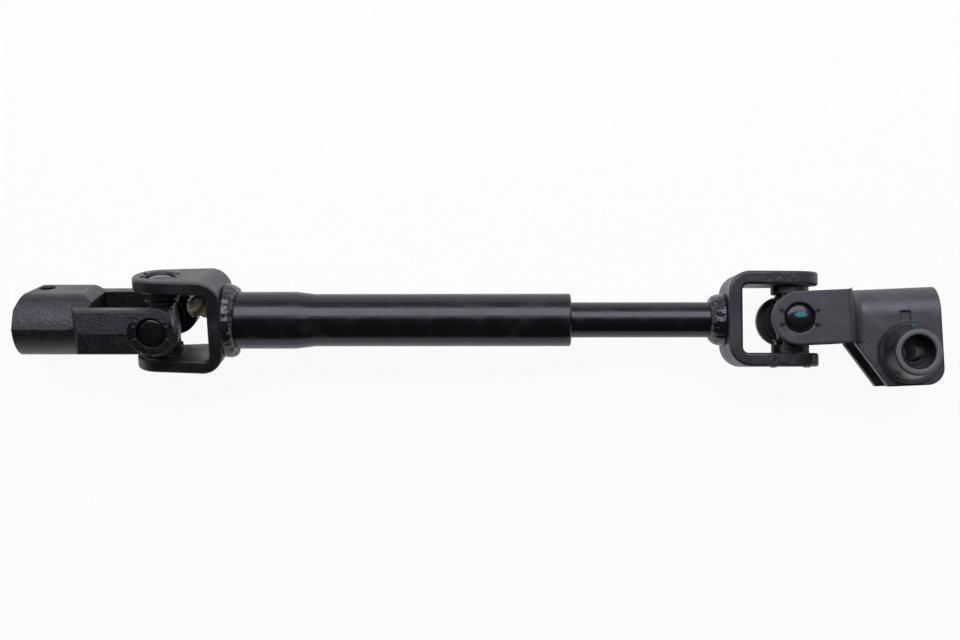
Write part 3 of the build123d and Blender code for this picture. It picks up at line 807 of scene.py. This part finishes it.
def cup_domes(name, body, paint, centre, turn):
    """Domes on the two cups of a yoke. turn leads the cups' common axis from +Z."""
    growth = Growth(name + "_tree", dome)
    ball = growth.node("GeometryNodeMeshUVSphere", {"Segments": 48, "Rings": 24, "Radius": 1.0})
    near = growth.node("GeometryNodeTransform", {
        "Geometry": ball.outputs["Mesh"],
        "Translation": growth.xyz(0.0, 0.0, growth.size("Level")),
        "Scale": growth.xyz(growth.size("Radius"), growth.size("Radius"), growth.size("Height")),
    })
    far = growth.node("GeometryNodeTransform", {
        "Geometry": near.outputs["Geometry"], "Rotation": (pi, 0.0, 0.0),
    })
    both = growth.node("GeometryNodeJoinGeometry")
    growth.tree.links.new(near.outputs["Geometry"], both.inputs[0])
    growth.tree.links.new(far.outputs["Geometry"], both.inputs[0])
    stood = growth.node("GeometryNodeTransform", {
        "Geometry": both.outputs[0], "Translation": tuple(centre), "Rotation": turn,
    })
    smooth = growth.node("GeometryNodeSetShadeSmooth", {"Geometry": stood.outputs["Geometry"]})
    growth.finish(smooth.outputs[0], paint)
    growth.plain_mesh(name, body)


cup_domes("tube_cup_domes", "tube", cup_paint, column_centre, (column_phase - pi / 2, 0.0, 0.0))
cup_domes("column_cup_domes", "column_yoke", cup_paint, column_centre, (column_phase, 0.0, 0.0))
cup_domes("shaft_cup_domes", "shaft", cup_paint, gear_centre, (-pi / 2, 0.0, 0.0))
cup_domes("clamp_cup_domes", "clamp_yoke", marked_cup_paint, gear_centre, (0.0, 0.0, 0.0))

# %% [markdown]
# ### Serrations in the hub
# The steering column's shaft is splined, and so is the hub's bore. Its fine ridges run
# nearly its whole length, 36 to the full turn, and the slit is left free of them. One
# three-sided bar, set round a ring, gives them all.

# %% Serrations
ridges_start = 2.6 * mm  # behind the crowned end of the hub
ridges_end = 40.8 * mm
growth = Growth("serration_tree", {
    "Ridges": 36, "Bore radius": 8.05 * mm, "Ridge size": 0.62 * mm,
    "Length": ridges_end - ridges_start, "Slit half angle": radians(15),
})
ring = growth.node("GeometryNodeMeshCircle", {
    "Vertices": growth.size("Ridges"), "Radius": growth.size("Bore radius"),
})
bar = growth.node("GeometryNodeMeshCylinder", {
    "Vertices": 3, "Side Segments": 1, "Radius": growth.size("Ridge size"),
    "Depth": growth.size("Length"),
})
ridge_place = growth.node("GeometryNodeInputPosition").outputs[0]
across = growth.node("ShaderNodeSeparateXYZ", {0: ridge_place})
ridge_angle = growth.math("ARCTAN2", across.outputs["Y"], across.outputs["X"])
off_side = growth.math("ABSOLUTE", ridge_angle)
off_slit = growth.math("ABSOLUTE", growth.math("SUBTRACT", off_side, pi / 2))
near_slit = growth.node("FunctionNodeCompare", {
    0: off_slit, 1: growth.size("Slit half angle"),
}, operation="LESS_THAN")
low_side = growth.node("FunctionNodeCompare", {
    0: across.outputs["Y"], 1: 0.0,
}, operation="LESS_THAN")
in_slit = growth.node("FunctionNodeBooleanMath", {
    0: near_slit.outputs[0], 1: low_side.outputs[0],
}, operation="AND")
kept = growth.node("FunctionNodeBooleanMath", {0: in_slit.outputs[0]}, operation="NOT")
ridges = growth.node("GeometryNodeInstanceOnPoints", {
    "Points": ring.outputs["Mesh"], "Selection": kept.outputs[0],
    "Instance": bar.outputs["Mesh"],
    "Rotation": growth.xyz(0.0, 0.0, growth.math("ADD", ridge_angle, pi)),
})
laid = growth.node("GeometryNodeTransform", {
    "Geometry": ridges.outputs["Instances"],
    "Translation": ((ridges_start + ridges_end) / 2, 0.0, 0.0),
    "Rotation": (pi / 2, -column_phase, pi / 2),
})
growth.finish(laid.outputs["Geometry"], forged_paint)
growth.plain_mesh("hub_serrations", "column_yoke")

# %% [markdown]
# ## Lump of sealant
# A blob of olive, half-clear compound sits inside the left fork, against its web. It was
# squeezed on by hand, so it is a soft heap of two or three rounded lobes. Here a fine
# ball is pushed out along noise and flattened where it touches the steel.

# %% Sealant lump
blob_size = 1.22  # of the ball, as a share of half the lump's box
blob_flat = 0.985  # the steel stops it just inside the box
lobe_swell = 0.34
lobe_scale = 1.5
lobe_shift = Vector((4.2, 0.7, 1.9))
dimple_swell = 0.05
dimple_scale = 5.0
lump_low, lump_high = (Vector(corner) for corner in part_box("sealant_lump"))
lump_middle = (lump_low + lump_high) / 2
lump_half = (lump_high - lump_low) / 2
shape = bmesh.new()
bmesh.ops.create_icosphere(shape, subdivisions=5, radius=1.0)
for vertex in shape.verts:
    way = vertex.co.normalized()
    swell = 0.80 + lobe_swell * noise.noise(way * lobe_scale + lobe_shift)
    swell += dimple_swell * noise.noise(way * dimple_scale)
    pushed = (way[axis] * swell * blob_size for axis in range(3))
    pressed = (max(-blob_flat, min(blob_flat, part)) for part in pushed)
    vertex.co = Vector(part * half for part, half in zip(pressed, lump_half)) + lump_middle
lump_mesh = bpy.data.meshes.new("sealant_blob")
shape.to_mesh(lump_mesh)
shape.free()
for face in lump_mesh.polygons:
    face.use_smooth = True
sealant_blob = link_to_scene(lump_mesh, "sealant_blob")
dress(sealant_blob, sealant)
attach(sealant_blob, "tube")
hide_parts("sealant_lump")
print("sealant vertices:", len(lump_mesh.vertices))

# %% [markdown]
# ## Table top
# The floor is plain and pale. It takes the shaft's shadow. In reflections most of it is a
# flat glow, as a lit table is when it is exposed to white. The camera looks through most
# of it to the white studio, so a yoke that is turned down past the table top still shows.

# %% Floor
floor_gap = 0.4 * mm
floor_reach = 6.0
floor_tone = 0.86
floor_glow = 0.94
mirrored_glow = 0.6  # gloss paint shows a floor that is a little less bright
floor_mesh = bpy.data.meshes.new("floor")
floor_mesh.from_pydata(
    [(-floor_reach, -floor_reach, 0), (floor_reach, -floor_reach, 0),
     (floor_reach, floor_reach, 0), (-floor_reach, floor_reach, 0)],
    [], [(0, 1, 2, 3)],
)
floor_paint = bpy.data.materials.new("floor_paint")
floor_paint.use_nodes = True
floor_tree = floor_paint.node_tree
pale = floor_tree.nodes["Principled BSDF"]
pale.inputs["Base Color"].default_value = grey(floor_tone)
pale.inputs["Roughness"].default_value = 0.8
pale.inputs["Specular IOR Level"].default_value = 0.1
glow = floor_tree.nodes.new("ShaderNodeEmission")
clear = floor_tree.nodes.new("ShaderNodeBsdfTransparent")
bright = floor_tree.nodes.new("ShaderNodeMixShader")
floor_rays = floor_tree.nodes.new("ShaderNodeLightPath")
floor_mirrored = sum_node(floor_tree, "MULTIPLY")
floor_mirrored.inputs[1].default_value = mirrored_glow
floor_seen = sum_node(floor_tree, "MAXIMUM")
floor_seen_at_all = sum_node(floor_tree, "MAXIMUM")
share = sum_node(floor_tree, "MULTIPLY")
share.inputs[1].default_value = floor_glow
floor_mix = floor_tree.nodes.new("ShaderNodeMixShader")
for source, target in (
    (floor_rays.outputs["Is Camera Ray"], floor_seen.inputs[0]),
    (floor_rays.outputs["Is Glossy Ray"], floor_mirrored.inputs[0]),
    (floor_mirrored.outputs[0], floor_seen.inputs[1]),
    (floor_seen.outputs[0], floor_seen_at_all.inputs[0]),
    (floor_rays.outputs["Is Transmission Ray"], floor_seen_at_all.inputs[1]),
    (floor_seen_at_all.outputs[0], share.inputs[0]),
    (share.outputs[0], floor_mix.inputs["Fac"]),
    (floor_rays.outputs["Is Camera Ray"], bright.inputs["Fac"]),
    (glow.outputs[0], bright.inputs[1]),
    (clear.outputs[0], bright.inputs[2]),
    (pale.outputs[0], floor_mix.inputs[1]),
    (bright.outputs[0], floor_mix.inputs[2]),
    (floor_mix.outputs[0], floor_tree.nodes["Material Output"].inputs["Surface"]),
):
    floor_tree.links.new(source, target)
floor_mesh.materials.append(floor_paint)
floor = link_to_scene(floor_mesh, "floor")
floor.location.z = cad_box[0][2] - floor_gap
print("floor at z =", round(floor.location.z, 4))
